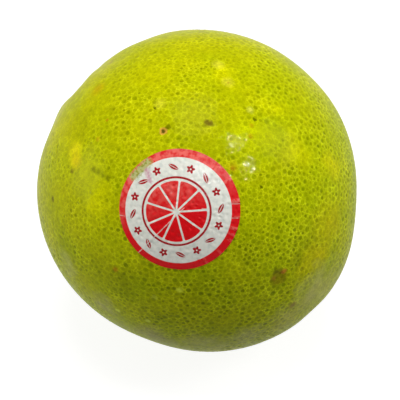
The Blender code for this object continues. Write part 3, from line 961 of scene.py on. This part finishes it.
# %% Model the button flat
BUTTON_RADIUS, BUTTON_SIDES, BUTTON_EDGE = 6.5 * MM, 80, 0.6 * MM
BUTTON_INSETS = [  # thickness and rise of each inset in mm, from the rim to the middle
    (0.9, 0.35), (1.0, 0.15), (0.9, 0.1), (0.25, 0.25), (0.25, 0.45), (0.15, 0.15),
    (0.35, 0.0), (0.7, -0.15), (0.7, -0.1), (0.5, -0.15), (0.3, -0.2),
]
STALK_RADIUS = 3.0 * MM
LOBES, LOBE_REACH, LOBE_NOTCH = 5, 0.10, 0.25
WRINKLES_PER_TURN, WRINKLE, LEAST_WRINKLED = 34, 0.16 * MM, 0.3  # the last a share, on the cut face
BUTTON_SINK = 0.25 * MM

bpy.ops.object.select_all(action="DESELECT")
bpy.ops.mesh.primitive_cylinder_add(vertices=BUTTON_SIDES, radius=BUTTON_RADIUS, depth=BUTTON_EDGE)
button = bpy.context.object
button.name = "dry_stem_button"
for face in button.data.polygons:
    face.select = face.normal.z > 0.5
bpy.ops.object.mode_set(mode="EDIT")
bpy.ops.mesh.select_mode(type="FACE")
for thickness, rise in BUTTON_INSETS:
    bpy.ops.mesh.inset(thickness=thickness * MM, depth=rise * MM)
bpy.ops.mesh.poke()
bpy.ops.object.mode_set(mode="OBJECT")
rounded = button.modifiers.new("rounded", "SUBSURF")
rounded.levels = 2
bpy.ops.object.modifier_apply(modifier=rounded.name)

flat = mesh_points(button)
reach = np.linalg.norm(flat[:, :2], axis=1)
turn = np.arctan2(flat[:, 1], flat[:, 0])
outside_stalk = np.clip((reach - STALK_RADIUS) / STALK_RADIUS, 0, 1)
lobes = np.cos(LOBES * turn) + LOBE_NOTCH * np.cos(2 * LOBES * turn)
flat[:, :2] *= (1 + LOBE_REACH * lobes * outside_stalk)[:, None]
around_button = np.stack([np.cos(turn), np.sin(turn), reach / STALK_RADIUS / 4], axis=1)
creases = np.array([noise.noise(Vector(place) * WRINKLES_PER_TURN / math.tau) for place in around_button])
on_top = np.clip(flat[:, 2] / BUTTON_EDGE, 0, 1)
flat[:, 2] += WRINKLE * creases * on_top * np.clip(reach / STALK_RADIUS, LEAST_WRINKLED, 1)
keep_values(button, "button_plan", flat / MM)
move_points(button, flat)
lay_on_skin(button, stem, BUTTON_EDGE / 2 - BUTTON_SINK)
button.data.shade_smooth()
print("button height in mm:", round(flat[:, 2].max() / MM, 2), "faces:", len(button.data.polygons))

# %% [markdown]
# The calyx dries to a brownish olive with paler veins that run outwards. The stem has a thin ring of
# bark, pale wood under it where the clippers went through, and a darker soft pith in the middle. All
# of it is matt plant fibre, so nothing shines.

# %% Dry plant fibre
CALYX_OLIVE, CALYX_BROWN = linear("#77713A"), linear("#9A8350")
BARK, WOOD, WOOD_DARK, PITH = linear("#5A4A28"), linear("#C6B184"), linear("#A58C5C"), linear("#6E5A3A")
WOOD_RADIUS, PITH_RADIUS, RAGGED_BY = 2.35, 0.7, 0.25  # mm

fibre = empty_material("dry_woody_calyx_and_cut_stem")
on_fibre = partial(add_node, fibre)
on_button = on_fibre("Attribute", output="Vector", attribute_name="button_plan")
level_place = on_fibre("VectorMath MULTIPLY", [on_button, (1, 1, 0)])
from_axis = on_fibre("VectorMath LENGTH", [level_place], "Value")
ray_place = on_fibre("VectorMath NORMALIZE", [level_place])
rays = on_fibre("TexNoise", {"Vector": ray_place, "Scale": 7.0, "Detail": 3})
specks = on_fibre("TexNoise", {"Vector": on_button, "Scale": 1.4, "Detail": 4})
dryness = on_fibre("Math ADD", [rays, specks])
dryness = on_fibre("MapRange", [dryness, 0.75, 1.3])
from_axis = on_fibre("Math MULTIPLY_ADD", [specks, 2 * RAGGED_BY, from_axis])
fibre_colour, wood = [
    on_fibre("Mix", {FACTOR: dryness, FIRST: moist, SECOND: dry}, **COLOURS)
    for moist, dry in ((CALYX_OLIVE, CALYX_BROWN), (WOOD_DARK, WOOD))]
stem_rings = [  # radius and soft edge in mm, colour
    (STALK_RADIUS / MM, 0.3, BARK), (WOOD_RADIUS, 0.15, wood), (PITH_RADIUS, 0.3, PITH),
]
for radius, soft, inner in stem_rings:
    within = on_fibre("MapRange", [from_axis, radius + RAGGED_BY + soft, radius + RAGGED_BY])
    fibre_colour = on_fibre("Mix", {FACTOR: within, FIRST: fibre_colour, SECOND: inner}, **COLOURS)
fibre_relief = on_fibre("Bump", {"Height": rays, "Strength": 0.6, "Distance": 0.15 * MM})
matt = on_fibre("BsdfPrincipled", {
    "Base Color": fibre_colour, "Roughness": 0.85, "Specular IOR Level": 0.2, "Normal": fibre_relief})
on_fibre("OutputMaterial", [matt])
button.data.materials.clear()
button.data.materials.append(fibre)
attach(button, "root")
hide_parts("stem_button")
print("button graph:", len(fibre.node_tree.nodes), "nodes")
